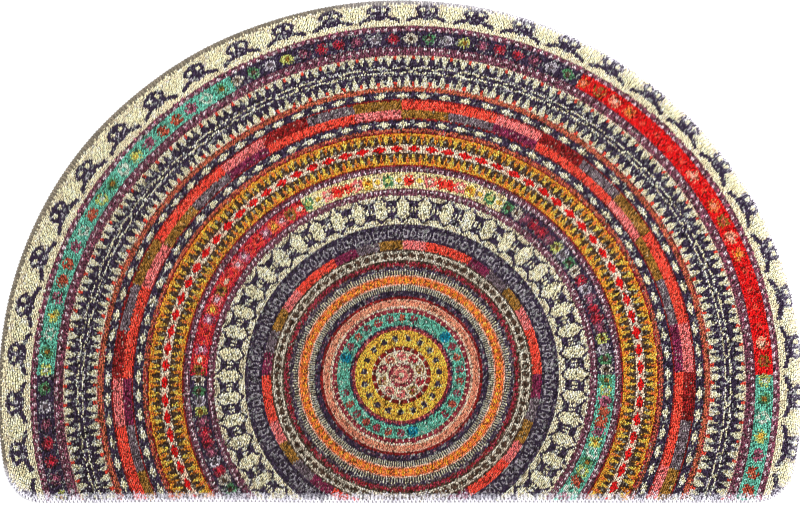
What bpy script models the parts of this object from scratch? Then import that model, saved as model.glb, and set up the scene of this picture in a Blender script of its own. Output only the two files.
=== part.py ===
"""A half-moon hooked rug: a wool pile on its foundation cloth, with an overcast edge binding.

The rug lies flat on Z = 0, its straight edge along X and its round side towards +Y.
Its outline is most of a circle's segment, with two rounded corners. The origin is at
the middle of the underside's bounding box.
"""

import math

import bmesh
import bpy
import numpy as np

MM = 0.001

# The outline: a circle that the straight edge cuts off below its centre.
RIM_RADIUS = 375 * MM
STRAIGHT_EDGE_DROP = 120 * MM
CORNER_RADIUS = 42 * MM
# How far the hand-finished outline strays from the true one, and where its round side swells.
RIM_WANDER = 0.9 * MM
STRAIGHT_WANDER = 1.1 * MM
RIM_SWELL = 7.5 * MM
SWELL_MIDDLE = math.radians(143)
SWELL_SPREAD = math.radians(29)

# Heights above the floor, and depths inwards from the outline.
PILE_TOP = 8.7 * MM
PILE_SHOULDER = 3.0 * MM
UNDERSIDE_SLOPE = 1.5 * MM
LIP_BOTTOM = 1.2 * MM
LIP_TOP = 5.0 * MM
LIP_CHAMFER = 0.7 * MM
BINDING_WIDTH = 8.7 * MM
BINDING_WRAP = 0.9 * MM
BINDING_ROUNDING = 1.2 * MM
GAP = 0.3 * MM

# Points along each stretch of the outline.
RIM_STEPS = 100
CORNER_STEPS = 10
STRAIGHT_STEPS = 30

PILE_COLOUR = (0.26, 0.16, 0.12)
BINDING_COLOUR = (0.47, 0.43, 0.40)


def arc(centre, radius, start, end, steps):
    """Points on an arc from start up to, but not including, end."""
    angles = np.linspace(start, end, steps, endpoint=False)
    return np.column_stack((centre[0] + radius * np.cos(angles), centre[1] + radius * np.sin(angles)))


def wander(along):
    """A slow, uneven wave between about -1 and 1, for a whole turn of 0 to 1."""
    turn = 2 * math.pi * along
    return 0.5 * np.sin(3 * turn + 0.6) + 0.3 * np.sin(7 * turn + 2.1) + 0.2 * np.sin(13 * turn + 4.0)


def outline():
    """The rug's outer edge, anticlockwise from the right-hand corner."""
    corner_y = CORNER_RADIUS - STRAIGHT_EDGE_DROP
    corner_x = math.sqrt((RIM_RADIUS - CORNER_RADIUS) ** 2 - corner_y**2)
    meet = math.atan2(corner_y, corner_x)
    rim = arc((0, 0), RIM_RADIUS, meet, math.pi - meet, RIM_STEPS)
    left = arc((-corner_x, corner_y), CORNER_RADIUS, math.pi - meet, 1.5 * math.pi, CORNER_STEPS)
    across = np.linspace(-corner_x, corner_x, STRAIGHT_STEPS, endpoint=False)
    straight = np.column_stack((across, np.full(STRAIGHT_STEPS, -STRAIGHT_EDGE_DROP)))
    right = arc((corner_x, corner_y), CORNER_RADIUS, -0.5 * math.pi, meet, CORNER_STEPS)
    edge = np.concatenate((rim, left, straight, right))
    along = np.linspace(0, 1, len(edge), endpoint=False)
    straightness = np.clip(-edge[:, 1] / STRAIGHT_EDGE_DROP, 0, 1) ** 4
    size = RIM_WANDER + (STRAIGHT_WANDER - RIM_WANDER) * straightness
    turn = np.arctan2(edge[:, 1], edge[:, 0]) % (2 * math.pi)
    swell = RIM_SWELL * np.exp(-(((turn - SWELL_MIDDLE) / SWELL_SPREAD) ** 2))
    return edge + outward(edge) * (size * wander(along) + swell)[:, None]


def outward(edge):
    """Unit normals of a closed anticlockwise outline, pointing out of it."""
    ahead = np.roll(edge, -1, axis=0) - np.roll(edge, 1, axis=0)
    ahead /= np.linalg.norm(ahead, axis=1)[:, None]
    return np.column_stack((ahead[:, 1], -ahead[:, 0]))


def centred(edge):
    """The outline moved so that its bounding box is centred on the origin."""
    return edge - (edge.min(axis=0) + edge.max(axis=0)) / 2


def body_profile():
    """The pile and foundation's side, as depth and height, from the underside to the top."""
    pile_side = BINDING_WIDTH + GAP
    lip_end = BINDING_ROUNDING + GAP
    return (
        (pile_side + UNDERSIDE_SLOPE, 0),
        (pile_side, LIP_BOTTOM),
        (lip_end + LIP_CHAMFER, LIP_BOTTOM),
        (lip_end, LIP_BOTTOM + LIP_CHAMFER),
        (lip_end, LIP_TOP - LIP_CHAMFER),
        (lip_end + LIP_CHAMFER, LIP_TOP),
        (pile_side, LIP_TOP),
        (pile_side, PILE_TOP - 0.45 * PILE_SHOULDER),
        (pile_side + 0.3 * PILE_SHOULDER, PILE_TOP - 0.13 * PILE_SHOULDER),
        (pile_side + PILE_SHOULDER, PILE_TOP),
    )


def binding_profile():
    """The overcast edge's section, as depth and height, once round it."""
    inner_bottom = LIP_BOTTOM - GAP
    inner_top = LIP_TOP + GAP
    top = inner_top + BINDING_WRAP
    soft = 0.3 * BINDING_ROUNDING
    # The inner chamfer keeps the same gap to the lip's chamfer as the flat walls do.
    chamfer = LIP_CHAMFER + GAP * (2 - math.sqrt(2))
    return (
        (BINDING_WIDTH, 0),
        (BINDING_ROUNDING, 0),
        (soft, soft),
        (0, BINDING_ROUNDING),
        (0, top - BINDING_ROUNDING),
        (soft, top - soft),
        (BINDING_ROUNDING, top),
        (BINDING_WIDTH - soft, top),
        (BINDING_WIDTH, top - soft),
        (BINDING_WIDTH, inner_top),
        (BINDING_ROUNDING + chamfer, inner_top),
        (BINDING_ROUNDING, inner_top - chamfer),
        (BINDING_ROUNDING, inner_bottom + chamfer),
        (BINDING_ROUNDING + chamfer, inner_bottom),
        (BINDING_WIDTH, inner_bottom),
    )


def swept_rows(mesh, edge, profile):
    """A row of vertices round the outline for each point of the profile."""
    normals = outward(edge)
    rows = []
    for depth, height in profile:
        points = edge - normals * depth
        rows.append([mesh.verts.new((x, y, height)) for x, y in points])
    return rows


def join_rows(mesh, lower, upper):
    """A band of quads between two rows of vertices."""
    count = len(lower)
    for i in range(count):
        j = (i + 1) % count
        mesh.faces.new((lower[i], lower[j], upper[j], upper[i]))


def add_object(name, mesh, colour, roughness):
    """Turns a bmesh into a named, smooth object with its own plain material."""
    bmesh.ops.recalc_face_normals(mesh, faces=mesh.faces)
    data = bpy.data.meshes.new(name)
    mesh.to_mesh(data)
    mesh.free()
    data.shade_smooth()
    data.set_sharp_from_angle(angle=math.radians(50))
    data.materials.append(cloth_material(name, colour, roughness))
    obj = bpy.data.objects.new(name, data)
    bpy.context.scene.collection.objects.link(obj)
    return obj


def cloth_material(name, colour, roughness):
    material = bpy.data.materials.new(name)
    material.use_nodes = True
    shader = material.node_tree.nodes["Principled BSDF"]
    shader.inputs["Base Color"].default_value = (*colour, 1)
    shader.inputs["Roughness"].default_value = roughness
    shader.inputs["Metallic"].default_value = 0
    return material


def add_rug_body(edge):
    """The hooked pile on its foundation cloth, whose thin lip runs on under the binding."""
    mesh = bmesh.new()
    rows = swept_rows(mesh, edge, body_profile())
    for lower, upper in zip(rows, rows[1:]):
        join_rows(mesh, lower, upper)
    mesh.faces.new(rows[0])
    mesh.faces.new(rows[-1])
    return add_object("rug_body", mesh, PILE_COLOUR, 0.95)


def add_edge_binding(edge):
    """The overcast yarn edge, a loop folded over the foundation's lip."""
    mesh = bmesh.new()
    rows = swept_rows(mesh, edge, binding_profile())
    for lower, upper in zip(rows, rows[1:] + rows[:1]):
        join_rows(mesh, lower, upper)
    return add_object("edge_binding", mesh, BINDING_COLOUR, 0.85)


def main():
    for obj in list(bpy.data.objects):
        bpy.data.objects.remove(obj, do_unlink=True)
    edge = centred(outline())
    add_rug_body(edge)
    add_edge_binding(edge)


main()
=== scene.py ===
"""The looks of a half-moon hooked rug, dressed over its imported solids.

The pile is some 150,000 leaning wool tufts, set in rings about a centre near the
straight edge. Each tuft's yarn is worked out from where it stands, ring by ring, as a
rug hooker follows a drawn foundation. An overcast binding closes the edge.
"""

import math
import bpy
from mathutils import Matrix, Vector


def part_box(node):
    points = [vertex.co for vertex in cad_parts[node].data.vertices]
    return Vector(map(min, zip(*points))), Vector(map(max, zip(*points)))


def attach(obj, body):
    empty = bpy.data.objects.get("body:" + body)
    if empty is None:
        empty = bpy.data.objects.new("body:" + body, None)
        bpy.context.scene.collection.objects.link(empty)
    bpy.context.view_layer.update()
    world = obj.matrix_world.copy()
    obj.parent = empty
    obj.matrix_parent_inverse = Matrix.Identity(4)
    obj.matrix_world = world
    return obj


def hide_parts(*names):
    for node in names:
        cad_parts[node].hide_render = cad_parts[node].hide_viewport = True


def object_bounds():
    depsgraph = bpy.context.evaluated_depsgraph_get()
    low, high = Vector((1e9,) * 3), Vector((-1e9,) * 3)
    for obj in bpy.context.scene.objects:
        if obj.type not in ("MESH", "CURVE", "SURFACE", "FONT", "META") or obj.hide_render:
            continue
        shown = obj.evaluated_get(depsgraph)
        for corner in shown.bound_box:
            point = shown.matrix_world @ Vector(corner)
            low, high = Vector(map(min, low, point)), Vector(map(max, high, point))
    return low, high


bl_info = {
    "name": "Half-moon hooked rug",
    "version": (1, 0, 0),
    "blender": (4, 5, 0),
    "location": "View3D > Sidebar > Rug",
    "description": "Builds a half-moon rug of hooked wool with an overcast edge",
    "category": "Object",
}

import bpy
import numpy as np

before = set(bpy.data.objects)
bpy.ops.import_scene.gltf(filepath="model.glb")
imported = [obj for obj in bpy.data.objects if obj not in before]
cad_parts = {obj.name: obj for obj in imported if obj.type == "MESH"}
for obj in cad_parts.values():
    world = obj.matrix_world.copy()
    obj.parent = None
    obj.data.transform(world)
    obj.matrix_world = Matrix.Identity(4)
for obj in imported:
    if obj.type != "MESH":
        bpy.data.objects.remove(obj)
CAD_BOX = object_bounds()
BODY_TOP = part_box("rug_body")[1][2]
MM = 0.001

# Seeds of the random draws, so that every build is the same.
PLACE_SEED, CHART_SEED, DYE_SEED, TUFT_SEED, STITCH_SEED = 7, 11, 12, 20, 31

# Radii in millimetres from the rings' centre: the border's inner side, and past every tuft.
BORDER = 348.0
BEYOND_RIM = 1000.0

# The pile's pieces from the middle outwards, each with its outer radius.
PILE_GROUPS = (
    ("pile_centre_medallion", 131.2),
    ("pile_flower_ring", 205.7),
    ("pile_gold_teeth_ring", 271.8),
    ("pile_cream_teeth_ring", 326.5),
    ("pile_outer_border", BEYOND_RIM),
)


def to_linear(red, green, blue):
    """A colour as a screen shows it, from 0 to 255, as light."""
    shown = np.array((red, green, blue)) / 255
    return tuple(np.where(shown <= 0.04045, shown / 12.92, ((shown + 0.055) / 1.055) ** 2.4))


def length(name, description, millimetres):
    return bpy.props.FloatProperty(
        name=name, description=description, default=millimetres * MM, unit="LENGTH", precision=5
    )


def yarn(name, description, red, green, blue):
    default = to_linear(red, green, blue)
    return bpy.props.FloatVectorProperty(
        name=name, description=description, default=default, subtype="COLOR", size=3, min=0, max=1
    )


class RugSizes(bpy.types.PropertyGroup):
    """The rug's sizes"""

    rings_right: length("Rings to the right", "The rings' centre, right of the rug's middle", 4.95)
    rings_forward: length("Rings forward", "The rings' centre, in front of the rug's back edge", 375.5)
    tuft_pitch: length("Tuft pitch", "Distance from one tuft to the next", 1.48)
    tuft_width: length("Tuft width", "Widest part of a tuft", 1.3)
    tuft_reach: length("Tuft reach", "How far a tuft's tip leans from its root", 2.3)
    lock_width: length("Lock width", "Width of the locks that the tufts lie in", 1.3)
    lock_length: length("Lock length", "Length of the locks, along the nap", 2.6)
    fray: length("Fray", "How unevenly the pile ends over the binding", 0.9)
    cloth: length("Foundation cloth", "Thickness of the foundation cloth", 1.9)
    stitch_pitch: length("Stitch pitch", "Distance between the binding's stitches", 1.8)
    stitch_width: length("Stitch width", "Width of the binding's yarn", 1.3)
    nap: bpy.props.FloatProperty(
        name="Nap",
        description="Direction in which the pile leans, from the straight edge",
        default=math.radians(50),
        subtype="ANGLE",
    )


class RugYarns(bpy.types.PropertyGroup):
    """The rug's colours, one for each yarn"""

    cream: yarn("Cream", "Flower grounds", 240, 224, 187)
    ivory: yarn("Ivory", "Teeth, diamonds and ovals", 251, 237, 193)
    honey: yarn("Honey", "Pale block of the inner rosettes", 252, 222, 160)
    oat: yarn("Oat", "Combs and the ground of the black diamonds", 200, 188, 170)
    blush: yarn("Blush", "Ground of the red diamonds", 249, 208, 180)
    peach: yarn("Peach", "Pale edges of the orange rings", 249, 175, 153)
    salmon: yarn("Salmon", "Salmon ring near the middle", 251, 150, 120)
    gold: yarn("Gold", "Middle ring with dark dots", 254, 187, 72)
    amber: yarn("Amber", "Gold teeth", 252, 153, 47)
    straw: yarn("Straw", "Yellow teeth", 247, 188, 78)
    orange: yarn("Orange", "Orange ring", 250, 120, 66)
    coral: yarn("Coral", "Coral blocks", 252, 76, 58)
    red: yarn("Red", "Red diamonds and the red block", 228, 23, 25)
    crimson: yarn("Crimson", "Crimson block and rosettes", 190, 38, 56)
    dark_red: yarn("Dark red", "Dark red blocks and lines", 140, 30, 31)
    maroon: yarn("Maroon", "Maroon rings and rosettes", 150, 48, 64)
    magenta: yarn("Magenta", "Rosettes and beads", 168, 90, 114)
    plum: yarn("Plum", "Beaded lines", 114, 64, 82)
    purple: yarn("Purple", "Purple blocks", 123, 39, 73)
    pink: yarn("Pink", "Pink blocks and rosettes", 236, 118, 116)
    lilac: yarn("Lilac", "Beads", 222, 190, 200)
    ash: yarn("Ash", "Outlines of the chain", 180, 172, 181)
    rust: yarn("Rust", "Rust rings", 190, 98, 70)
    brick: yarn("Brick", "Rosettes on teal", 174, 72, 52)
    olive: yarn("Olive", "Olive blocks", 149, 107, 45)
    moss: yarn("Moss", "Yellow rosettes", 184, 188, 104)
    slate: yarn("Slate", "Slate blocks", 110, 95, 103)
    navy: yarn("Navy", "Dark grounds", 60, 47, 72)
    black: yarn("Black", "Grounds of the teeth", 82, 59, 47)
    teal: yarn("Teal", "Teal blocks", 102, 181, 158)
    blue: yarn("Blue", "Patches in the teal ring", 4, 134, 160)
    green: yarn("Green", "Green rosettes", 80, 132, 90)
    pale: yarn("Pale", "Eyes and pale rosettes", 200, 210, 192)
    # The binding's yarn is painted in shade on the round side's left and painted in light on the
    # straight side and the right.
    binding_painted_shade: yarn("Binding, round side", "Overcast yarn on the left", 113, 103, 88)
    binding_pale_painted_light: yarn("Binding, straight side", "Overcast yarn on the right", 228, 225, 237)
    # The linen is darkened as painted shade, for the deep shade between the tufts.
    linen: yarn("Linen", "Foundation cloth", 58, 50, 42)


PILE_YARNS = [name for name in RugYarns.__annotations__ if not name.startswith(("binding", "linen"))]
YARN_NUMBER = {name: number for number, name in enumerate(PILE_YARNS)}


def stray(radius, angle):
    """How far a ring lies outside its true place, in millimetres: the outer ones follow the rim."""
    # Nothing strays inside 215 mm. The round side's left swells, and its back is a little flat.
    outer = np.clip((radius - 215) / 120, 0, 1.3)
    swell = 2.8 * np.exp(-(((angle - 148) / 20) ** 2)) - 1.1 * np.exp(-(((angle - 85) / 35) ** 2))
    return outer * swell


class Chart:
    """Which yarn each tuft is hooked in.

    Radii are in millimetres from the rings' centre, and angles in degrees.
    """

    def __init__(self, across, back, seed):
        self.angle = np.degrees(np.arctan2(back, across)) % 360
        self.radius = np.hypot(across, back)
        self.radius = self.radius - stray(self.radius, self.angle)
        self.chance = np.random.default_rng(seed)
        self.number = np.zeros(len(across), int)

    def fill(self, where, name):
        self.number[where] = YARN_NUMBER[name]

    def some(self, share):
        """A share of the tufts, picked at random."""
        return self.chance.random(len(self.number)) < share

    def ring(self, inner, outer):
        return (self.radius >= inner) & (self.radius < outer)

    def repeat(self, count, at):
        """Millimetres along the ring from the nearest of count even places, and which place that is."""
        pitch = 360 / count
        turns = (self.angle - at) / pitch
        place = np.round(turns)
        return np.radians((turns - place) * pitch) * self.radius, place.astype(int) % count

    def fraction(self, count, at):
        """How far through its repeat each tuft is, from 0 to 1, going clockwise."""
        return ((at - self.angle) * count / 360) % 1

    def between(self, start, end):
        """The tufts between two angles, going anticlockwise."""
        return (self.angle - start) % 360 < (end - start) % 360

    def rise(self, base, tip):
        """How far each tuft is from the base of a row of teeth to their tips, and which are in it."""
        share = (self.radius - base) / (tip - base)
        return share, (share >= 0) & (share < 1)

    def oval(self, along, radius, half_length, half_height):
        return (along / half_length) ** 2 + ((self.radius - radius) / half_height) ** 2 < 1

    def diamond(self, along, radius, half_length, half_height):
        return np.abs(along) / half_length + np.abs(self.radius - radius) / half_height < 1


# How often the figures that several rings share repeat in a whole turn.
WINGS = 48
DIAMONDS = 84
TEETH = 108
ROSETTES = 120
BEADS = 252

# Each ring from the middle outwards: its outer radius, its ground, how often its figure
# repeats, the angle of one of the figures, and the size of its tufts beside the usual one.
# The tufts of a row are counted to the repeat.
RINGS = (
    (2.7, "cream", 0, 0, 0.88),
    (5.9, "pink", 0, 0, 0.88),
    (7.7, "peach", 0, 0, 0.88),
    (12.1, "maroon", 0, 0, 0.88),
    (23.2, "cream", 0, 0, 0.88),
    (27.4, "cream", 20, 168, 0.88),
    (42.8, "gold", 19, 175, 0.88),
    (46.3, "maroon", 64, 175, 0.88),
    (47.8, "navy", 0, 0, 0.88),
    (60.3, "teal", 30, 162, 0.88),
    (64.4, "maroon", 66, 174, 0.88),
    (66.4, "blush", 0, 0, 0.88),
    (71.6, "salmon", 0, 0, 0.88),
    (73.2, "peach", 0, 0, 0.88),
    (75.4, "dark_red", 0, 0, 0.88),
    (80.4, "navy", 0, 0, 1.0),
    (86.5, "navy", 504, 100, 0.7),
    (87.6, "peach", 0, 0, 1.0),
    (95.2, "orange", DIAMONDS, 100.3, 1.0),
    (96.4, "peach", 0, 0, 1.0),
    (101.0, "navy", 504, 100, 0.7),
    (104.5, "navy", 0, 0, 1.0),
    (109.8, "maroon", 0, 0, 1.0),
    (111.0, "black", 0, 0, 1.0),
    (120.2, "oat", DIAMONDS, 120, 1.0),
    (121.9, "black", 0, 0, 1.0),
    (131.2, "navy", 0, 0, 1.0),
    (143.6, "navy", 840, 98, 0.7),
    (146.1, "navy", 0, 0, 1.0),
    (174.9, "cream", WINGS, 109, 1.0),
    (181.2, "plum", BEADS, 117, 1.0),
    (198.0, "cream", ROSETTES, 118.5, 1.0),
    (203.9, "plum", BEADS, 117.8, 1.0),
    (205.7, "dark_red", 0, 0, 1.0),
    (217.6, "black", TEETH, 116.8, 0.88),
    (225.2, "blush", DIAMONDS, 117.6, 1.0),
    (236.9, "black", TEETH, 116.8, 0.88),
    (238.3, "dark_red", 0, 0, 1.0),
    (241.9, "rust", 0, 0, 1.0),
    (250.8, "navy", DIAMONDS, 120.3, 1.0),
    (252.3, "dark_red", 0, 0, 1.0),
    (270.0, "coral", 0, 0, 1.08),
    (271.8, "dark_red", 0, 0, 1.0),
    (279.3, "navy", DIAMONDS, 103.4, 1.0),
    (284.8, "rust", 0, 0, 1.0),
    (296.6, "navy", TEETH, 99.6, 0.88),
    (306.2, "navy", DIAMONDS, 99.6, 1.0),
    (317.4, "navy", TEETH, 99.6, 0.88),
    (326.3, "plum", BEADS, 152.4, 1.0),
    (342.7, "navy", ROSETTES, 119.1, 1.0),
    (BORDER, "plum", BEADS, 150.3, 1.0),
    (BEYOND_RIM, "cream", WINGS, 146.7, 1.08),
)

# The colour blocks of each sixth of a turn, clockwise from its upper end: degrees and yarn.
INNER_BLOCKS = ((10, "purple"), (10, "slate"), (10, "olive"), (10, "pink"), (20, "coral"))
LOWER_BLOCKS = ((20, "coral"), (10, "pink"), (10, "olive"), (10, "slate"), (10, "purple"))
UPPER_BLOCKS = ((10, "dark_red"), (10, "slate"), (10, "olive"), (20, "coral"), (10, "pink"))

# The rosette rings' grounds, for the sixths that start at 0, 60, 120, 180, 240 and 300 degrees,
# and the rosettes of one sixth, clockwise from its upper end.
INNER_GROUNDS = ("navy", "honey", "crimson", "navy", "teal", "teal")
OUTER_GROUNDS = ("red", "navy", "teal", "navy", "teal", "teal")
INNER_ROSETTES = "GSMRRMYPGSRPMRRMYPGS"
OUTER_ROSETTES = "SGPYMRRMPRSGPYMRRMPG"
# The petals and heart of each kind of rosette, by the ground that it stands on.
ROSETTE_KINDS = "GSPYMR"
ROSETTE_YARNS = {
    "navy": "green black, oat black, ash slate, moss olive, plum magenta, maroon crimson",
    "teal": "green olive, moss pale, pale teal, moss straw, magenta plum, brick rust",
    "red": "olive brick, orange salmon, salmon peach, orange amber, red coral, red coral",
    "crimson": "olive black, coral blush, pink lilac, orange gold, magenta lilac, coral crimson",
    "honey": "green moss, ivory straw, blush straw, straw amber, pink blush, coral red",
}
MEDALLION_ROSETTES = "rust maroon olive pink pink olive crimson olive crimson pink".split()


def hook_grounds(chart):
    inner = 0
    for outer, name, _, _, _ in RINGS:
        chart.fill(chart.ring(inner, outer), name)
        inner = outer


def hook_blocks(chart, inner, outer, blocks, turn):
    """Plain blocks on each sixth of a ring, the sixths turned by a few tenths of a degree."""
    ring = chart.ring(inner, outer)
    for sixth in range(6):
        end = 60 * sixth + turn
        for degrees, name in blocks:
            chart.fill(ring & chart.between(end - degrees, end), name)
            end -= degrees


def hook_diamonds(chart, radius, half_length, half_height, at, name):
    """A ring of diamonds, the figure that most of the rug's rings share."""
    along, _ = chart.repeat(DIAMONDS, at)
    chart.fill(chart.diamond(along, radius, half_length, half_height), name)


def hook_beads(chart, radius, at, name, size, share):
    """A ring of round beads, of which only a share of the tufts is hooked."""
    along, _ = chart.repeat(BEADS, at)
    chart.fill(chart.oval(along, radius, size, size) & chart.some(share), name)


def hook_medallion(chart):
    """The small rosettes round the middle and the gold ring with dark dots."""
    chart.fill(chart.ring(7.9, 11.8) & chart.some(0.2), "blush")
    chart.fill(chart.ring(12.5, 23) & chart.some(0.25), "blush")
    along, place = chart.repeat(len(MEDALLION_ROSETTES), 126)
    far = np.hypot(along, chart.radius - 18.2) / 4.3
    for turn, name in enumerate(MEDALLION_ROSETTES):
        chart.fill((far < 1) & (place == turn) & chart.some(0.85), name)
    chart.fill((far > 0.35) & (far < 0.6) & chart.some(0.5), "blush")
    chart.fill(far < 0.3, "maroon")
    along, _ = chart.repeat(20, 168)
    chart.fill(chart.ring(23.2, 27.2) & (np.abs(along) < 3.0), "dark_red")
    along, _ = chart.repeat(19, 175)
    chart.fill(chart.oval(along, 35.2, 3.9, 3.8) & chart.some(0.25), "ivory")
    chart.fill(chart.oval(along, 35.2, 2.6, 2.6), "navy")
    along, _ = chart.repeat(64, 175)
    chart.fill(chart.ring(42.8, 46.3) & (np.abs(along) < 0.6) & chart.some(0.7), "pink")


def hook_teal_ring(chart):
    """Three runs of faint rosettes, each with a blue patch, between rows of pale stitches."""
    chart.fill(chart.ring(47.8, 60.3) & chart.some(0.08), "pale")
    along, place = chart.repeat(30, 162)
    kind = place % 10
    chart.fill(chart.oval(along, 54.4, 5.0, 5.4) & (kind == 0) & chart.some(0.9), "blue")
    rosette = chart.oval(along, 54.4, 3.7, 4.0) & (kind >= 3)
    chart.fill(rosette & chart.some(0.7), "maroon")
    chart.fill(rosette & (place % 2 == 0) & chart.some(0.5), "rust")
    chart.fill(rosette & (place % 2 == 1) & chart.some(0.3), "slate")
    along, _ = chart.repeat(66, 174)
    chart.fill(chart.ring(60.3, 62.6) & (np.abs(along) < 0.8), "ivory")


def hook_combs(chart):
    """The orange ring's diamonds, and pale strands that fade into the dark rings beside it."""
    # There are as many strands as the other rings have beads.
    along, _ = chart.repeat(BEADS, 100)
    rise = np.clip((chart.radius - 81.4) / 5.0, 0, 1)
    chart.fill(chart.ring(81.4, 86.5) & (np.abs(along) < 0.25 + 0.3 * rise), "ivory")
    fall = np.clip((101.8 - chart.radius) / 5.4, 0, 1)
    chart.fill(chart.ring(96.4, 101.8) & (np.abs(along) < 0.3 + 0.4 * fall), "ivory")
    chart.fill(chart.ring(75.4, 80.5) & chart.some(0.15), "plum")
    chart.fill(chart.ring(100.5, 104.5) & chart.some(0.35), "slate")
    along, _ = chart.repeat(DIAMONDS, 100.3)
    chart.fill(chart.diamond(along, 91.2, 2.4, 3.2), "amber")
    line = np.abs(chart.radius - 107.2) < 1.2
    chart.fill(chart.ring(104.5, 109.8) & ~line & chart.some(0.45), "black")
    chart.fill(line & chart.some(0.35), "dark_red")


def hook_chain(chart):
    """Outlined diamonds and squares by turns on a dark ground."""
    along, place = chart.repeat(120, 98)
    height = np.abs(chart.radius - 137.2)
    diamond = np.abs(along) / 3.0 + height / 5.2
    square = np.maximum(np.abs(along) / 2.4, height / 3.9)
    line = np.where(place % 2 == 0, np.abs(diamond - 0.84) < 0.2, np.abs(square - 0.82) < 0.22)
    chart.fill(chart.ring(131, 144) & line & chart.some(0.92), "ash")
    chart.fill(chart.ring(131, 146) & ~line & chart.some(0.12), "slate")


def hook_flowers(chart):
    """Dark winged figures with pale eyes, between bright ovals, on the inner cream ring."""
    along, _ = chart.repeat(WINGS, 105.25)
    chart.fill(chart.oval(along, 161.2, 5.7, 7.2), "ivory")
    along, _ = chart.repeat(WINGS, 109)
    across = np.abs(along)
    height = np.abs(chart.radius - 160.9)
    lobes = (across / 4.6) ** 2 + ((height - 5.9) / 3.5) ** 2 < 1
    bars = ((across < 0.8) | (np.abs(across - 3.8) < 0.8)) & (height < 4.2)
    legs = (np.abs(height - 7.2 - 0.8 * (across - 3.8)) < 1.5) & (across > 3.4) & (across < 9.4)
    chart.fill(lobes | bars | legs, "navy")
    chart.fill(((across - 1.9) / 1.2) ** 2 + (height / 2.2) ** 2 < 1, "ivory")


def hook_border(chart):
    """The same figures, larger, on the cream border that the binding closes."""
    along, _ = chart.repeat(WINGS, 142.95)
    chart.fill(chart.oval(along, 363.1, 11.8, 10.0) & chart.some(0.65), "oat")
    chart.fill(chart.oval(along, 363.1, 10.2, 8.5), "ivory")
    along, _ = chart.repeat(WINGS, 146.7)
    across = np.abs(along)
    height = chart.radius - 363.9
    head = (across / 11.6) ** 2 + ((height - 1.4) / 6.4) ** 2 < 1
    chin = (across / 9.6) ** 2 + ((height + 4.2) / 5.2) ** 2 < 1
    legs = (np.abs(height + 5.8 + 0.34 * (across - 7)) < 2.1) & (across > 5) & (across < 19.5)
    chart.fill(head | chin | legs, "navy")
    chart.fill((head | chin) & chart.some(0.1), "ash")
    chart.fill(((across - 4.7) / 2.4) ** 2 + ((height - 1.6) / 2.2) ** 2 < 1, "ivory")


def hook_rosettes(chart, inner, outer, grounds, run, at):
    """Twenty soft-edged rosettes on each sixth's own ground, each a ring of petals round a heart."""
    along, place = chart.repeat(ROSETTES, at)
    turn = -place % len(run)
    height = outer - inner
    off = (chart.radius - (inner + outer) / 2) / (0.37 * height)
    far = np.hypot(along / (0.43 * height), off)
    petals = (far > 0.3) & (far < 1) & chart.some(np.where(far < 0.8, 0.82, 0.45))
    sixth = (chart.angle // 60).astype(int)
    for number, ground in enumerate(grounds):
        here = chart.ring(inner, outer) & (sixth == number)
        chart.fill(here, ground)
        pairs = ROSETTE_YARNS[ground].split(", ")
        for number_in_run, letter in enumerate(run):
            petal, heart = pairs[ROSETTE_KINDS.index(letter)].split()
            chart.fill(here & petals & (turn == number_in_run), petal)
            chart.fill(here & (far < 0.4) & (turn == number_in_run), heart)


def hook_gold_teeth(chart, base, tip):
    """Pairs of teeth, one orange and one yellow, from a gold base on a dark ground."""
    rise, ring = chart.rise(base, tip)
    along = chart.fraction(TEETH, 116.8)
    amber = np.abs(along - 0.31) < 0.24 * np.clip(1 - rise / 0.88, 0, 1) ** 0.7
    straw = np.abs(along - 0.73) < 0.26 * np.clip(1 - rise / 0.97, 0, 1) ** 0.7
    chart.fill(ring & (rise < 0.22), "amber")
    chart.fill(ring & amber, "amber")
    chart.fill(ring & straw, "straw")
    chart.fill(ring & straw & (rise < 0.35) & chart.some(0.6), "amber")
    chart.fill(ring & (np.abs(along - 0.31) < 0.09) & (rise > 0.12) & (rise < 0.5), "orange")


def hook_cream_teeth(chart, base, tip):
    """Wide and narrow cream teeth by turns, a red dot between them."""
    rise, ring = chart.rise(base, tip)
    along = (chart.fraction(TEETH, 99.6) + 0.27) % 1
    wide = np.abs(along - 0.27) < 0.25 * np.clip(1 - rise / 0.95, 0, 1) ** 0.65
    narrow = np.abs(along - 0.81) < 0.17 * np.clip(1 - rise / 0.8, 0, 1) ** 0.65
    chart.fill(ring & (wide | narrow), "ivory")
    chart.fill(ring & (rise < 0.1), "blush")
    chart.fill(ring & (np.abs(along - 0.59) < 0.085) & (rise > 0.05) & (rise < 0.38), "coral")


def hook_rust_edges(chart):
    """Dark stitches along both sides of the two rust rings."""
    wide = chart.ring(279.3, 284.8) & (np.abs(chart.radius - 282.0) > 1.5)
    narrow = chart.ring(238.3, 241.9) & (np.abs(chart.radius - 240.1) > 1.0)
    chart.fill((wide | narrow) & chart.some(0.5), "maroon")
    chart.fill((wide | narrow) & chart.some(0.25), "black")


def hook_rails(chart):
    """Pairs of thin cream rails that close round dark diamonds."""
    along, _ = chart.repeat(DIAMONDS, 99.55)
    height = np.abs(chart.radius - 301.4)
    rail = 2.6 * (1 - (np.abs(along) / 12.5) ** 4)
    chart.fill((np.abs(height - rail) < 0.85) & chart.some(0.84), "ivory")
    chart.fill((np.abs(height - 4.3) < 0.5) & chart.some(0.35), "ash")


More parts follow.
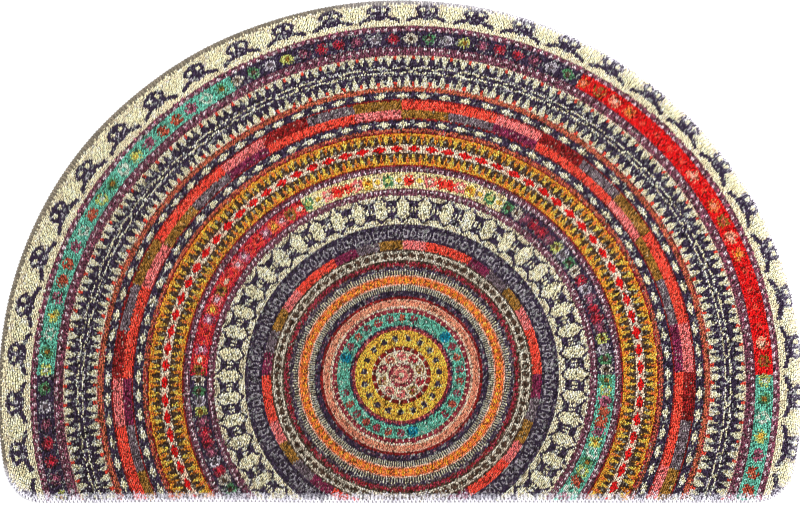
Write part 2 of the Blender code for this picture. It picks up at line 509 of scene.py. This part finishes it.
def hook_pattern(chart):
    """Hooks every ring, ground first."""
    hook_grounds(chart)
    hook_medallion(chart)
    hook_teal_ring(chart)
    hook_combs(chart)
    hook_diamonds(chart, 115.6, 4.3, 3.4, 120.0, "black")
    hook_blocks(chart, 121.9, 130.3, INNER_BLOCKS, 0.2)
    hook_chain(chart)
    hook_flowers(chart)
    hook_beads(chart, 179.3, 117.0, "lilac", 1.4, 1.0)
    hook_rosettes(chart, 181.2, 198.0, INNER_GROUNDS, INNER_ROSETTES, 118.5)
    hook_beads(chart, 200.2, 117.8, "lilac", 1.6, 1.0)
    hook_gold_teeth(chart, 205.7, 217.6)
    hook_gold_teeth(chart, 236.9, 225.2)
    hook_diamonds(chart, 221.4, 7.4, 3.7, 117.6, "red")
    hook_diamonds(chart, 246.2, 6.7, 3.1, 120.3, "ivory")
    hook_blocks(chart, 252.3, 261.0, LOWER_BLOCKS, 0.65)
    hook_blocks(chart, 261.0, 270.0, UPPER_BLOCKS, 0.65)
    hook_diamonds(chart, 275.4, 7.2, 3.1, 103.4, "ivory")
    hook_cream_teeth(chart, 284.8, 296.6)
    hook_cream_teeth(chart, 317.4, 306.2)
    hook_rust_edges(chart)
    hook_rails(chart)
    hook_beads(chart, 323.2, 152.4, "lilac", 1.7, 1.0)
    hook_beads(chart, 320.2, 152.4, "magenta", 2.1, 0.35)
    hook_rosettes(chart, 326.3, 342.7, OUTER_GROUNDS, OUTER_ROSETTES, 119.1)
    hook_beads(chart, 344.4, 150.3, "lilac", 1.7, 1.0)
    hook_beads(chart, 346.9, 151.0, "magenta", 1.7, 0.5)
    hook_border(chart)


def sizes():
    return bpy.context.scene.rug_sizes


def yarns():
    return bpy.context.scene.rug_yarns


def ring_centre():
    """The middle of the hooked rings, in the row frame."""
    return np.array((sizes().rings_right, CAD_BOX[1][1] - sizes().rings_forward))


def direction(points):
    """Each point's direction from the rings' centre, in radians."""
    return np.arctan2(*(points - ring_centre()).T[::-1])


def distance(points):
    """Each point's distance from the rings' centre, in metres."""
    return np.hypot(*(points - ring_centre()).T)


def cad_outline():
    """The CAD binding's outermost row of points, anticlockwise."""
    places = np.array([v.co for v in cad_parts["edge_binding"].data.vertices])
    from_centre = places[:, :2] - ring_centre()
    heights = np.unique(np.round(places[:, 2], 5))
    spread = [np.hypot(*from_centre[np.abs(places[:, 2] - h) < 1e-5].T).mean() for h in heights]
    row = from_centre[np.abs(places[:, 2] - heights[int(np.argmax(spread))]) < 1e-5]
    turn = np.round(np.arctan2(row[:, 1], row[:, 0]), 5)
    _, first = np.unique(turn, return_index=True)
    return row[first] + ring_centre()


def steps_round(loop):
    """The distance from each point of a closed loop to the next."""
    return np.hypot(*np.diff(np.vstack((loop, loop[:1])), axis=0).T)


def smooth_loop(points, count):
    """A closed curve through the points, at count even steps along it."""
    dense = []
    for part in np.linspace(0, 1, 12, endpoint=False):
        before, here, after, beyond = (np.roll(points, shift, axis=0) for shift in (1, 0, -1, -2))
        slope = (after - before) * part
        bend = (2 * before - 5 * here + 4 * after - beyond) * part**2
        change = (3 * here - before - 3 * after + beyond) * part**3
        dense.append(0.5 * (2 * here + slope + bend + change))
    curve = np.stack(dense, axis=1).reshape(-1, 2)
    closed = np.vstack((curve, curve[:1]))
    along = np.concatenate(((0,), np.cumsum(steps_round(curve))))
    even = np.linspace(0, along[-1], count, endpoint=False)
    return np.column_stack((np.interp(even, along, closed[:, 0]), np.interp(even, along, closed[:, 1])))


def outward(loop):
    """Unit normals of a closed anticlockwise loop."""
    ahead = np.roll(loop, -1, axis=0) - np.roll(loop, 1, axis=0)
    ahead /= np.linalg.norm(ahead, axis=1)[:, None]
    return np.column_stack((ahead[:, 1], -ahead[:, 0]))


def depth_inside(points, loop):
    """How far inside the loop each point lies, in metres, and negative outside it."""
    turn = direction(loop)
    order = np.argsort(turn)
    rim = np.interp(direction(points), turn[order], distance(loop)[order], period=2 * math.pi)
    depth = rim - distance(points)
    # Only near the rim does the depth have to be exact.
    near = np.flatnonzero(np.abs(depth) < 40 * MM)
    for chunk in np.array_split(near, max(1, len(near) // 4000)):
        apart = points[chunk][:, None] - loop[None]
        nearest = np.sqrt((apart**2).sum(axis=2).min(axis=1))
        depth[chunk] = np.sign(depth[chunk]) * nearest
    return depth


def add_object(name, data):
    obj = bpy.data.objects.new(name, data)
    bpy.context.scene.collection.objects.link(obj)
    return obj


def mesh_object(name, points, triangles):
    """A smooth mesh object from arrays, at the origin."""
    data = bpy.data.meshes.new(name)
    data.vertices.add(len(points))
    data.vertices.foreach_set("co", np.asarray(points, np.float32).ravel())
    data.loops.add(triangles.size)
    data.loops.foreach_set("vertex_index", triangles.astype(np.int32).ravel())
    data.polygons.add(len(triangles))
    data.polygons.foreach_set("loop_start", np.arange(0, triangles.size, 3, dtype=np.int32))
    data.update(calc_edges=True)
    data.validate()
    data.shade_smooth()
    return add_object(name, data)


def colour_points(obj, colours):
    layer = obj.data.color_attributes.new("yarn", "FLOAT_COLOR", "POINT")
    full = np.column_stack((colours, np.ones(len(colours)))).astype(np.float32)
    layer.data.foreach_set("color", full.ravel())


def add_map(obj, name, flat):
    """A map from one place for each vertex."""
    corner = np.zeros(len(obj.data.loops), np.int32)
    obj.data.loops.foreach_get("vertex_index", corner)
    layer = obj.data.uv_layers.new(name=name)
    layer.uv.foreach_set("vector", flat[corner].astype(np.float32).ravel())


def lay_out_flat(obj):
    """Gives the piece a map seen straight from above, scaled to its own box."""
    places = np.zeros(len(obj.data.vertices) * 3, np.float32)
    obj.data.vertices.foreach_get("co", places)
    flat = places.reshape(-1, 3)[:, :2]
    add_map(obj, "OFBake", (flat - flat.min(axis=0)) / np.ptp(flat, axis=0))


def shader_of(material):
    return material.node_tree.nodes["Principled BSDF"]


def new_material(name, roughness, sheen):
    material = bpy.data.materials.new(name)
    material.use_nodes = True
    shader = shader_of(material)
    shader.inputs["Roughness"].default_value = roughness
    shader.inputs["Specular IOR Level"].default_value = 0.1
    shader.inputs["Sheen Weight"].default_value = sheen
    shader.inputs["Sheen Roughness"].default_value = 0.5
    return material


def add_node(material, kind, **inputs):
    """A new node. The names of its inputs have underscores for spaces."""
    node = material.node_tree.nodes.new(kind)
    for name, value in inputs.items():
        node.inputs[name.replace("_", " ")].default_value = value
    return node


def link(source, target):
    source.id_data.links.new(source, target)


def yarn_colour(material):
    """The colour that is stored at the piece's points, with its painted light and shade."""
    dye_and_painted_shade = add_node(material, "ShaderNodeAttribute")
    dye_and_painted_shade.attribute_name = "yarn"
    return dye_and_painted_shade.outputs["Color"]


def object_noise(material, scale, detail):
    """Noise that stays put on the piece."""
    place = add_node(material, "ShaderNodeTexCoord")
    noise = add_node(material, "ShaderNodeTexNoise", Scale=scale, Detail=detail)
    link(place.outputs["Object"], noise.inputs["Vector"])
    return noise


def shaded(material, colour, amount_from, low, high):
    """The colour, made lighter and darker by a noise."""
    # A noise hardly leaves the range from 0.3 to 0.7.
    spread = add_node(
        material, "ShaderNodeMapRange", To_Min=low, To_Max=high, From_Min=0.3, From_Max=0.7
    )
    link(amount_from, spread.inputs["Value"])
    mix = add_node(material, "ShaderNodeVectorMath")
    mix.operation = "SCALE"
    link(colour, mix.inputs[0])
    link(spread.outputs["Result"], mix.inputs["Scale"])
    return mix.outputs["Vector"]


def bump(material, height, strength, distance):
    node = add_node(material, "ShaderNodeBump", Strength=strength, Distance=distance)
    link(height, node.inputs["Height"])
    link(node.outputs["Normal"], shader_of(material).inputs["Normal"])


def wool_material():
    """Dyed wool: the tuft's own yarn with its painted shade and highlight, dull and streaked by its
    fibres.
    """
    material = new_material("hooked_wool", 1.0, 0.0)
    dye_and_painted_shade = yarn_colour(material)
    streaks = object_noise(material, 1400, 3)
    tinted = shaded(material, dye_and_painted_shade, streaks.outputs["Fac"], 0.8, 1.2)
    link(tinted, shader_of(material).inputs["Base Color"])
    fibres = object_noise(material, 5200, 2)
    bump(material, fibres.outputs["Fac"], 0.5, 0.0002)
    return material


# How much of the binding the pile leaves bare, in millimetres, by the direction in degrees
# that the edge faces: the pile leans away from the round side's left and over its right.
PILE_MARGINS = ((-90, 3.4), (0, 1.2), (45, 2.6), (85, 5.6), (125, 7.2), (150, 7.6), (180, 5.0))

# How far a tuft strays from its even place, as a share of the pitch.
TUFT_STRAY = 0.22
# The share of a tuft's colour at its root, round its widest part and at its tip, and the
# palest that any of it gets: painted shade darkens the root and the two lower flanks, and
# a painted highlight lightens the spine and the tip.
PAINTED_TUFT_SHADING = (0.05, 1.1, 0.7, 0.7, 1.3)
PALEST = 0.93


def tufts_in_row(radius):
    """How many tufts the row at this radius takes, where they start, and their size."""
    for outer, _, repeats, at, size in RINGS:
        if radius < outer * MM:
            break
    steps = 2 * math.pi * radius / (size * sizes().tuft_pitch)
    if repeats == 0:
        return max(3, round(steps)), at, size
    return repeats * max(1, round(steps / repeats)), at, size


def tuft_places():
    """Where the tufts stand, in rows round the rings' centre, and their sizes, inside the binding."""
    chance = np.random.default_rng(PLACE_SEED)
    places = []
    scales = []
    radius = 0.5 * sizes().tuft_pitch
    # The round side swells past its back edge's distance.
    while radius < sizes().rings_forward + 12 * MM:
        count, at, size = tufts_in_row(radius)
        pitch = size * sizes().tuft_pitch
        step = np.arange(count) + chance.uniform(-TUFT_STRAY, TUFT_STRAY, count)
        turn = np.radians(at) + 2 * math.pi * step / count
        out = radius + chance.uniform(-TUFT_STRAY, TUFT_STRAY, count) * pitch
        places.append(np.column_stack((out * np.cos(turn), out * np.sin(turn))))
        scales.append(np.full(count, size))
        radius += pitch
    scales = np.concatenate(scales)
    places = np.concatenate(places) + ring_centre()
    loop = smooth_loop(cad_outline(), 1400)
    facing = np.degrees(np.arctan2(*outward(loop).T[::-1]))
    towards = direction(loop)
    order = np.argsort(towards)
    margins = np.interp(facing, *np.transpose(PILE_MARGINS), period=360)
    margin = np.interp(direction(places), towards[order], margins[order], period=2 * math.pi)
    depth = depth_inside(places, loop)
    inside = depth > margin * MM + chance.normal(0, sizes().fray, len(places))
    return places[inside], scales[inside]


def slow_wave(x, y):
    """A gentle unevenness over the rug, about -1 to 1."""
    return 0.6 * np.sin(17 * x + 9 * y + 1.0) + 0.4 * np.sin(41 * y - 23 * x + 2.0)


def build_tufts(name, roots, scales, colours, seed):
    """Leaning tufts: each has a root point, three points round its widest part and a tip."""
    chance = np.random.default_rng(seed)
    count = len(roots)
    lean = sizes().nap + chance.normal(0, 0.3, count)
    reach = sizes().tuft_reach * scales**2 * chance.uniform(0.7, 1.15, count)
    ahead = np.column_stack((np.cos(lean), np.sin(lean)))
    # The roots stand a little way down in the cloth.
    low = sizes().cloth - 0.4 * MM
    top = BODY_TOP + 0.3 * MM * slow_wave(*roots.T) + chance.normal(0, 0.3 * MM, count)
    # The front of a tuft is what shows, so the tuft is drawn back by most of its reach.
    foot = roots - ahead * (0.75 * reach)[:, None]
    points = np.zeros((count, 5, 3))
    points[:, 0, :2] = foot
    points[:, 0, 2] = low
    points[:, 4, :2] = foot + ahead * reach[:, None]
    points[:, 4, 2] = top
    width = 0.5 * sizes().tuft_width * scales * chance.uniform(0.85, 1.15, count)
    twist = chance.uniform(-0.35, 0.35, count)
    middle = foot + ahead * (0.6 * reach)[:, None]
    middle_height = low + 0.74 * (top - low)
    for side in range(3):
        # One ridge on top, seen from above as the tuft's spine, and two flanks below it.
        turn = math.pi / 2 + 2 * math.pi * side / 3 + twist
        sideways = np.column_stack((-ahead[:, 1], ahead[:, 0])) * (width * np.cos(turn))[:, None]
        rise = width * np.sin(turn)
        points[:, side + 1, :2] = middle + sideways - ahead * (0.45 * rise)[:, None]
        points[:, side + 1, 2] = middle_height + 0.75 * rise
    lower = np.array(((0, 1, 2), (0, 2, 3), (0, 3, 1)))
    upper = np.array(((4, 2, 1), (4, 3, 2), (4, 1, 3)))
    first = 5 * np.arange(count)[:, None, None]
    # The lower sides come first, so that a map from above is drawn over by the upper ones.
    triangles = np.concatenate(((first + lower).reshape(-1, 3), (first + upper).reshape(-1, 3)))
    obj = mesh_object(name, points.reshape(-1, 3), triangles)
    # Painted shade at the roots and flanks, and painted highlight on the spines and tips.
    painted_tuft_shades = np.clip(colours[:, None] * np.array(PAINTED_TUFT_SHADING)[None, :, None], 0, PALEST)
    colour_points(obj, painted_tuft_shades.reshape(-1, 3))
    lay_out_flat(obj)
    return obj


def locks(places, chance):
    """One random number for each tuft, shared by the tufts of a lock that lies along the nap."""
    ahead = np.array((math.cos(sizes().nap), math.sin(sizes().nap)))
    row = np.floor(places @ (-ahead[1], ahead[0]) / sizes().lock_width).astype(int)
    row -= row.min()
    offset = chance.uniform(0, 1, row.max() + 1)[row]
    column = np.floor(places @ ahead / sizes().lock_length + offset).astype(int)
    column -= column.min()
    return chance.normal(0, 1, (row.max() + 1, column.max() + 1))[row, column]


def dyed_with_painted_light(chart, places, seed):
    """Each tuft's colour: its yarn, lighter or darker by the lock, with stray fibres, painted highlights
    and painted shade.
    """
    chance = np.random.default_rng(seed)
    palette = np.array([list(getattr(yarns(), name)) for name in PILE_YARNS])
    colour = palette[chart.number]
    count = len(colour)
    lock = locks(places, chance)
    pale = palette[YARN_NUMBER["pale"]]
    # The wide border's wool is the most even.
    border = chart.ring(BORDER, BEYOND_RIM)
    uneven = np.where(border, 0.15, 0.27) * chance.normal(0, 1, count)
    colour = colour * np.exp(0.1 * lock + uneven)[:, None]
    speck = chance.random(count)
    # A tenth of the tufts is lightened as painted highlight. The darkest locks and some other tufts off
    # the border are darkened as painted shade of the gaps between tufts.
    light = speck < 0.1
    colour[light] = 1.3 * colour[light] + 0.1 * pale
    colour[((speck > 0.91) | (lock < -1.45)) & ~border] *= 0.3
    # Light fibres show most on the dark yarns, and these light specks also stand in for painted glints.
    dark = colour.max(axis=1) < 0.2
    colour[dark & (lock > 1.15)] += 0.44 * pale
    # Along the straight edge the binding's loose fibres lie over the pile, in the binding's pale yarn
    # with its painted light.
    front = np.clip(1.3 - (places[:, 1] - CAD_BOX[0][1]) / (10 * MM), 0, 0.6)
    fuzz = chance.random(count) < front
    colour[fuzz] = 0.3 * colour[fuzz] + 0.7 * np.array(yarns().binding_pale_painted_light)
    return np.clip(colour, 0, 1)


class RUG_OT_pile(bpy.types.Operator):
    """Hooks the wool pile, ring group by ring group"""

    bl_idname = "rug.pile"
    bl_label = "Hook the pile"

    def execute(self, context):
        places, scales = tuft_places()
        across, back = ((places - ring_centre()) / MM).T
        chart = Chart(across, back, CHART_SEED)
        hook_pattern(chart)
        colours = dyed_with_painted_light(chart, places, DYE_SEED)
        wool = wool_material()
        inner = 0.0
        for seed, (name, outer) in enumerate(PILE_GROUPS, start=TUFT_SEED):
            here = chart.ring(inner, outer)
            tufts = build_tufts(name, places[here], scales[here], colours[here], seed)
            tufts.data.materials.append(wool)
            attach(tufts, "root")
            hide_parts("rug_body")
            inner = outer
        return {"FINISHED"}


def linen_material():
    """Plain-woven linen, darkened as painted shade between the tufts, its threads running along X and Y.
    """
    material = new_material("linen_foundation", 0.95, 0.05)
    place = add_node(material, "ShaderNodeTexCoord")
    heights = []
    for direction in ("X", "Y"):
        threads = add_node(material, "ShaderNodeTexWave", Scale=260.0, Distortion=0.6, Detail=1.0)
        threads.bands_direction = direction
        link(place.outputs["Object"], threads.inputs["Vector"])
        heights.append(threads)
    weave = add_node(material, "ShaderNodeMath")
    weave.operation = "MULTIPLY"
    link(heights[0].outputs["Fac"], weave.inputs[0])
    link(heights[1].outputs["Fac"], weave.inputs[1])
    colour = add_node(material, "ShaderNodeMix")
    colour.data_type = "RGBA"
    linen = np.array(yarns().linen)
    colour.inputs[6].default_value = (*(0.62 * linen), 1)
    colour.inputs[7].default_value = (*linen, 1)
    link(weave.outputs["Value"], colour.inputs[0])
    blotches = object_noise(material, 60, 3)
    tinted = shaded(material, colour.outputs[2], blotches.outputs["Fac"], 0.85, 1.1)
    link(tinted, shader_of(material).inputs["Base Color"])
    bump(material, weave.outputs["Value"], 0.6, 0.0004)
    return material


def swept(loop, profile):
    """Points of a section of depth and height carried round a loop, section by section."""
    normals = outward(loop)
    level = np.ones(len(loop))
    rows = [np.column_stack((loop - normals * depth, level * height)) for depth, height in profile]
    return np.stack(rows, axis=1)


def sweep_faces(sections, points_each, closed):
    """Triangles between neighbouring sections of a sweep that closes on itself."""
    here = np.arange(sections)[:, None] * points_each
    after = (np.arange(sections)[:, None] + 1) % sections * points_each
    count = points_each if closed else points_each - 1
    step = np.arange(count)[None]
    following = (step + 1) % points_each
    corners = np.stack((here + step, after + step, after + following, here + following), axis=-1)
    return corners.reshape(-1, 4)[:, ((0, 1, 2), (0, 2, 3))].reshape(-1, 3)


class RUG_OT_foundation(bpy.types.Operator):
    """Lays the foundation cloth that the wool is hooked through"""

    bl_idname = "rug.foundation"
    bl_label = "Lay the foundation cloth"

    def execute(self, context):
        loop = smooth_loop(cad_outline(), 300)
        cloth = sizes().cloth
        lip = 1.3 * MM  # how high the cloth's edge lies inside the binding
        # Depth and height down the cloth's top, round its cut edge and back along its underside.
        profile = (
            (14 * MM, cloth),
            (10 * MM, cloth + 0.2 * MM),
            (8 * MM, lip + cloth),
            (2.2 * MM, lip + cloth),
            (1.7 * MM, lip + 0.7 * cloth),
            (1.7 * MM, lip + 0.3 * cloth),
            (2.2 * MM, lip),
            (8.6 * MM, lip),
            (10.6 * MM, 0.0),
            (14 * MM, 0.0),
        )
        points = swept(loop, profile)
        sides = sweep_faces(len(loop), len(profile), False)
        middle = np.array(((*ring_centre(), cloth), (*ring_centre(), 0.0)))
        top, bottom = points.shape[0] * points.shape[1] + np.array((0, 1))
        ring = np.arange(len(loop)) * len(profile)
        after = np.roll(ring, -1)
        last = len(profile) - 1
        above = np.column_stack((np.full(len(ring), top), ring, after))
        below = np.column_stack((np.full(len(ring), bottom), after + last, ring + last))
        cloth_piece = mesh_object(
            "foundation_cloth",
            np.concatenate((points.reshape(-1, 3), middle)),
            np.concatenate((sides[:, ::-1], above, below)),
        )
        cloth_piece.data.materials.append(linen_material())
        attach(cloth_piece, "root")
        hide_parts("rug_body")
        return {"FINISHED"}


def yarn_material():
    """The binding's plied yarn: its ply runs slantwise round every stitch."""
    material = new_material("overcast_yarn", 0.85, 0.15)
    dye_and_painted_shade = yarn_colour(material)
    run = add_node(material, "ShaderNodeUVMap")
    run.uv_map = "yarn_run"
    ply = add_node(material, "ShaderNodeTexWave", Scale=1.0, Distortion=0.5, Detail=1.0)
    ply.bands_direction = "DIAGONAL"
    link(run.outputs["UV"], ply.inputs["Vector"])
    fuzz = object_noise(material, 2200, 3)
    tinted = shaded(material, dye_and_painted_shade, fuzz.outputs["Fac"], 0.86, 1.1)
    link(tinted, shader_of(material).inputs["Base Color"])
    bump(material, ply.outputs["Fac"], 0.5, 0.0003)
    return material


# The path of an overcast stitch: depth, height and how far along the edge it slants, in mm.
# Neighbours slant opposite ways, so that the pairs leave small dark gaps.
STITCH_PATH = (
    (9.2, 3.9, -0.3),
    (7.6, 4.9, -0.5),
    (5.4, 5.3, -0.6),
    (3.6, 5.4, -0.5),
    (2.1, 5.2, 0.3),
    (1.1, 4.4, 0.6),
    (0.5, 3.2, 0.4),
    (1.1, 1.6, 0.0),
    (3.0, 0.7, 0.0),
    (8.4, 0.7, 0.0),
)
# The padded core's section, as depth and height in mm.
CORE_PROFILE = (
    *((9.3, 0.5), (2.0, 0.5), (1.2, 1.2), (1.0, 2.2), (1.0, 3.8)),
    *((1.5, 4.5), (2.6, 4.9), (7.6, 4.8), (9.0, 4.4), (9.4, 3.5)),
)

POINTS_PER_STITCH = 4
# A strand's three corners, as shares of its half width along the edge and of its width outwards.
STRAND_CORNERS = ((0.0, 0.42), (0.98, -0.3), (-0.98, -0.3))


def painted_light_side(points):
    """How far each point is on the binding's pale side, the straight edge and the right, where the yarn
    is painted in light; the round side's left is painted in shade.
    """
    # It fades in along the round side's back and, on the left, just above the straight edge.
    right = np.clip(points[:, 0] / (0.45 * (CAD_BOX[1][0] - CAD_BOX[0][0])) + 0.35, 0, 1)
    front = np.clip((ring_centre()[1] - points[:, 1]) / (25 * MM) - 3.2, 0, 1)
    pale = np.maximum(right, front)[:, None]
    return pale * pale * (3 - 2 * pale)


class RUG_OT_binding(bpy.types.Operator):
    """Overcasts the edge with slanting stitches over a padded core"""

    bl_idname = "rug.binding"
    bl_label = "Overcast the edge"

    def execute(self, context):
        outline = cad_outline()
        core_loop = smooth_loop(outline, 500)
        core = swept(core_loop, np.array(CORE_PROFILE) * MM)
        core_faces = sweep_faces(len(core_loop), len(CORE_PROFILE), True)[:, ::-1]
        count = round(steps_round(core_loop).sum() / sizes().stitch_pitch)
        chance = np.random.default_rng(STITCH_SEED)
        loop = smooth_loop(outline, POINTS_PER_STITCH * count)
        stitches, stitch_faces = self.stitches(loop, count, chance)
        points = np.concatenate((core.reshape(-1, 3), stitches.reshape(-1, 3)))
        triangles = np.concatenate((core_faces, stitch_faces + core.size // 3))
        binding = mesh_object("overcast_binding", points, triangles)
        pale = painted_light_side(points)
        # The yarn goes from painted shade on the left to painted light on the straight edge and the
        # right.
        colour = (1 - pale) * np.array(yarns().binding_painted_shade) + pale * np.array(yarns().binding_pale_painted_light)
        # The core shows as gaps between the stitches, darkened as painted shade, darker on the pale side
        # than on the other.
        inner = core.size // 3
        colour[:inner] *= 0.55 - 0.3 * pale[:inner]
        colour[inner:] *= np.repeat(np.exp(chance.normal(0, 0.25, count)), stitches.shape[1])[:, None]
        colour_points(binding, np.clip(colour, 0, 1))
        self.map_yarn(binding, core, stitches)
        binding.data.materials.append(yarn_material())
        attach(binding, "root")
        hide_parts("edge_binding")
        return {"FINISHED"}

    def stitches(self, loop, count, chance):
        """Three-sided strands along the stitch path, one for each place on the loop."""
        normals = outward(loop)
        spacing = np.hypot(*(loop[1] - loop[0]))
        path = np.array(STITCH_PATH) * MM
        stations = len(path)
        ahead = np.roll(path[:, :2], -1, axis=0) - np.roll(path[:, :2], 1, axis=0)
        ahead[0] = path[1, :2] - path[0, :2]
        ahead[-1] = path[-1, :2] - path[-2, :2]
        ahead /= np.linalg.norm(ahead, axis=1)[:, None]
        # Out of the cloth, square to the path, in depth and height.
        out = np.column_stack((ahead[:, 1], -ahead[:, 0]))
        half = 0.5 * sizes().stitch_width * chance.uniform(0.92, 1.08, count)
        start = POINTS_PER_STITCH * np.arange(count) + chance.uniform(-0.5, 0.5, count)
        slant = np.where(np.arange(count) % 2 == 0, 1, -1)
        rings = np.zeros((count, stations, 3, 3))
        for number in range(stations):
            depth, height, lean = path[number]
            thin = 0.75 if number in (0, stations - 1) else 1.0
            for side, (along_share, out_share) in enumerate(STRAND_CORNERS):
                where = (start + (slant * lean + along_share * half * thin) / spacing) % len(loop)
                low = np.floor(where).astype(int)
                part = (where - low)[:, None]
                at = loop[low] * (1 - part) + loop[(low + 1) % len(loop)] * part
                normal = normals[low]
                offset = out[number] * (out_share * 2 * half * thin)[:, None]
                rings[:, number, side, :2] = at - normal * (depth + offset[:, :1])
                rings[:, number, side, 2] = np.maximum(height + offset[:, 1], 0.02 * MM)
        step = np.arange(stations - 1)[:, None] * 3
        side = np.arange(3)[None]
        following = (side + 1) % 3
        quads = np.stack((step + side, step + following, step + 3 + following, step + 3 + side), axis=-1)
        faces = quads.reshape(-1, 4)[:, ((0, 1, 2), (0, 2, 3))].reshape(-1, 3)
        last = 3 * (stations - 1)
        ends = np.array(((0, 2, 1), (last, last + 1, last + 2)))
        faces = np.concatenate((faces, ends))
        first = np.arange(count)[:, None, None] * stations * 3
        return rings.reshape(count, stations * 3, 3), (first + faces).reshape(-1, 3)

    def map_yarn(self, binding, core, stitches):
        """A map that follows each strand, for its ply, in turns of the ply."""
        count, each = stitches.shape[0], stitches.shape[1]
        along = np.repeat(np.arange(each // 3), 3) * 0.9
        around = np.tile((0.0, 0.5, 1.0), each // 3)
        strand = np.tile(np.column_stack((along, around)), (count, 1))
        add_map(binding, "yarn_run", np.concatenate((np.zeros((core.size // 3, 2)), strand)))


CAMERA_LENS = 101.4  # millimetres, for a sensor 36 mm wide
CAMERA_PLACE = (0.1314, -0.4566, 2.0400)  # from the rings' centre, at the height of the pile's top
CAMERA_TURN = (15.689, 3.555, 0.728)  # degrees about X, Y and Z

# Each light's name, place, aim, diameter in metres, power in watts and colour.
LIGHTS = (
    ("key_light", (3.0, -1.0, 2.7), (0.05, 0, 0), 1.1, 304, (1.0, 0.98, 0.95)),
    ("fill_light", (-1.4, 1.3, 1.9), (0, 0, 0), 1.6, 58, (0.95, 0.97, 1.0)),
)
SURROUND_STRENGTH = 1.02


def add_light(name, place, target, size, power, colour):
    """A round light at a place, aimed at its target."""
    data = bpy.data.lights.new(name, "AREA")
    data.shape = "DISK"
    data.size = size
    data.energy = power
    data.color = colour
    lamp = add_object(name, data)
    lamp.location = place
    aim = np.array(target) - np.array(place)
    flat = math.hypot(aim[0], aim[1])
    lamp.rotation_euler = (math.atan2(flat, -aim[2]), 0, math.atan2(-aim[0], aim[1]))


class RUG_OT_stage(bpy.types.Operator):
    """Sets the pale floor, soft studio light and the camera above the rug"""

    bl_idname = "rug.stage"
    bl_label = "Set the stage"

    def execute(self, context):
        bpy.ops.object.select_all(action="DESELECT")
        # The floor lies just under the cloth, clear of it.
        bpy.ops.mesh.primitive_plane_add(size=12, location=(0, 0, -0.3 * MM))
        floor = context.active_object
        floor.name = "studio_floor"
        paper = new_material("pale_floor", 0.9, 0.0)
        shader_of(paper).inputs["Base Color"].default_value = (0.9, 0.9, 0.9, 1)
        floor.data.materials.append(paper)
        for light in LIGHTS:
            add_light(*light)
        world = bpy.data.worlds.new("studio")
        world.use_nodes = True
        surround = world.node_tree.nodes["Background"]
        surround.inputs["Color"].default_value = (1, 1, 1, 1)
        surround.inputs["Strength"].default_value = SURROUND_STRENGTH
        context.scene.world = world
        context.scene.view_settings.view_transform = "Standard"
        self.add_camera(context)
        return {"FINISHED"}

    def add_camera(self, context):
        centre = ring_centre()
        data = bpy.data.cameras.new("photo_view")
        data.lens = CAMERA_LENS
        data.sensor_width = 36
        camera = add_object("photo_view", data)
        across, back, up = CAMERA_PLACE
        camera.location = (centre[0] + across, centre[1] + back, BODY_TOP + up)
        camera.rotation_euler = [math.radians(turn) for turn in CAMERA_TURN]
        context.scene.camera = camera


class RUG_PT_panel(bpy.types.Panel):
    """The rug's sizes, yarns and pieces"""

    bl_idname = "RUG_PT_panel"
    bl_label = "Half-moon hooked rug"
    bl_space_type = "VIEW_3D"
    bl_region_type = "UI"
    bl_category = "Rug"

    def draw(self, context):
        for group in (context.scene.rug_sizes, context.scene.rug_yarns):
            for name in group.__annotations__:
                self.layout.prop(group, name)
        for operator in OPERATORS:
            self.layout.operator(operator.bl_idname)


OPERATORS = (RUG_OT_foundation, RUG_OT_pile, RUG_OT_binding, RUG_OT_stage)
CLASSES = (RugSizes, RugYarns, *OPERATORS, RUG_PT_panel)


def register():
    for item in CLASSES:
        bpy.utils.register_class(item)
    bpy.types.Scene.rug_sizes = bpy.props.PointerProperty(type=RugSizes)
    bpy.types.Scene.rug_yarns = bpy.props.PointerProperty(type=RugYarns)


def unregister():
    del bpy.types.Scene.rug_yarns
    del bpy.types.Scene.rug_sizes
    for item in reversed(CLASSES):
        bpy.utils.unregister_class(item)


def main():
    register()
    bpy.ops.rug.foundation()
    bpy.ops.rug.pile()
    bpy.ops.rug.binding()
    bpy.ops.rug.stage()


if __name__ == "__main__":
    main()
